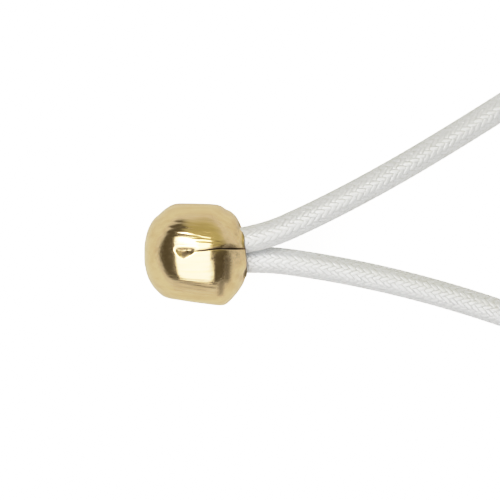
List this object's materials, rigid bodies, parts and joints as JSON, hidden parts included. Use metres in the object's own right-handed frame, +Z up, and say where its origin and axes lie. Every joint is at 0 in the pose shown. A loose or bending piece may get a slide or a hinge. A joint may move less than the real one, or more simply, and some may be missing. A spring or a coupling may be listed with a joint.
{
  "type": "elastic pull cord loop",
  "caption": "Teardrop pull loop of round white braided elastic cord, both ends crimped side by side in a small polished brass ball.",
  "frame": {"origin": "on the surface the part lies on, under the middle of the brass ball", "axes": "+X from the ball's closed dome to its open mouth, +Y across the two crimped flats, +Z up, towards the ball's seam"},
  "size_m": [0.0567, 0.0282, 0.008],
  "materials": {
    "polished_brass": "polished and lacquered, with fine rolling and crimping marks",
    "satin_braid": "white satin polyester yarn, braided",
    "latex": "natural latex, dusted with talc"
  },
  "bodies": {
    "loop": {"braided_sheath": "satin_braid", "rubber_thread_centre": "latex", "rubber_thread_1": "latex", "rubber_thread_2": "latex", "rubber_thread_3": "latex", "rubber_thread_4": "latex", "rubber_thread_5": "latex", "rubber_thread_6": "latex"},
    "ball": {"crimp_ball": "polished_brass"}
  },
  "joints": [
    {"name": "loop_stretch", "type": "slide", "parent": "loop", "child": "ball", "axis": [-0.9962, -0.0872, 0], "range_m": [0, 0.025], "stiffness_N_per_m": 150}
  ]
}
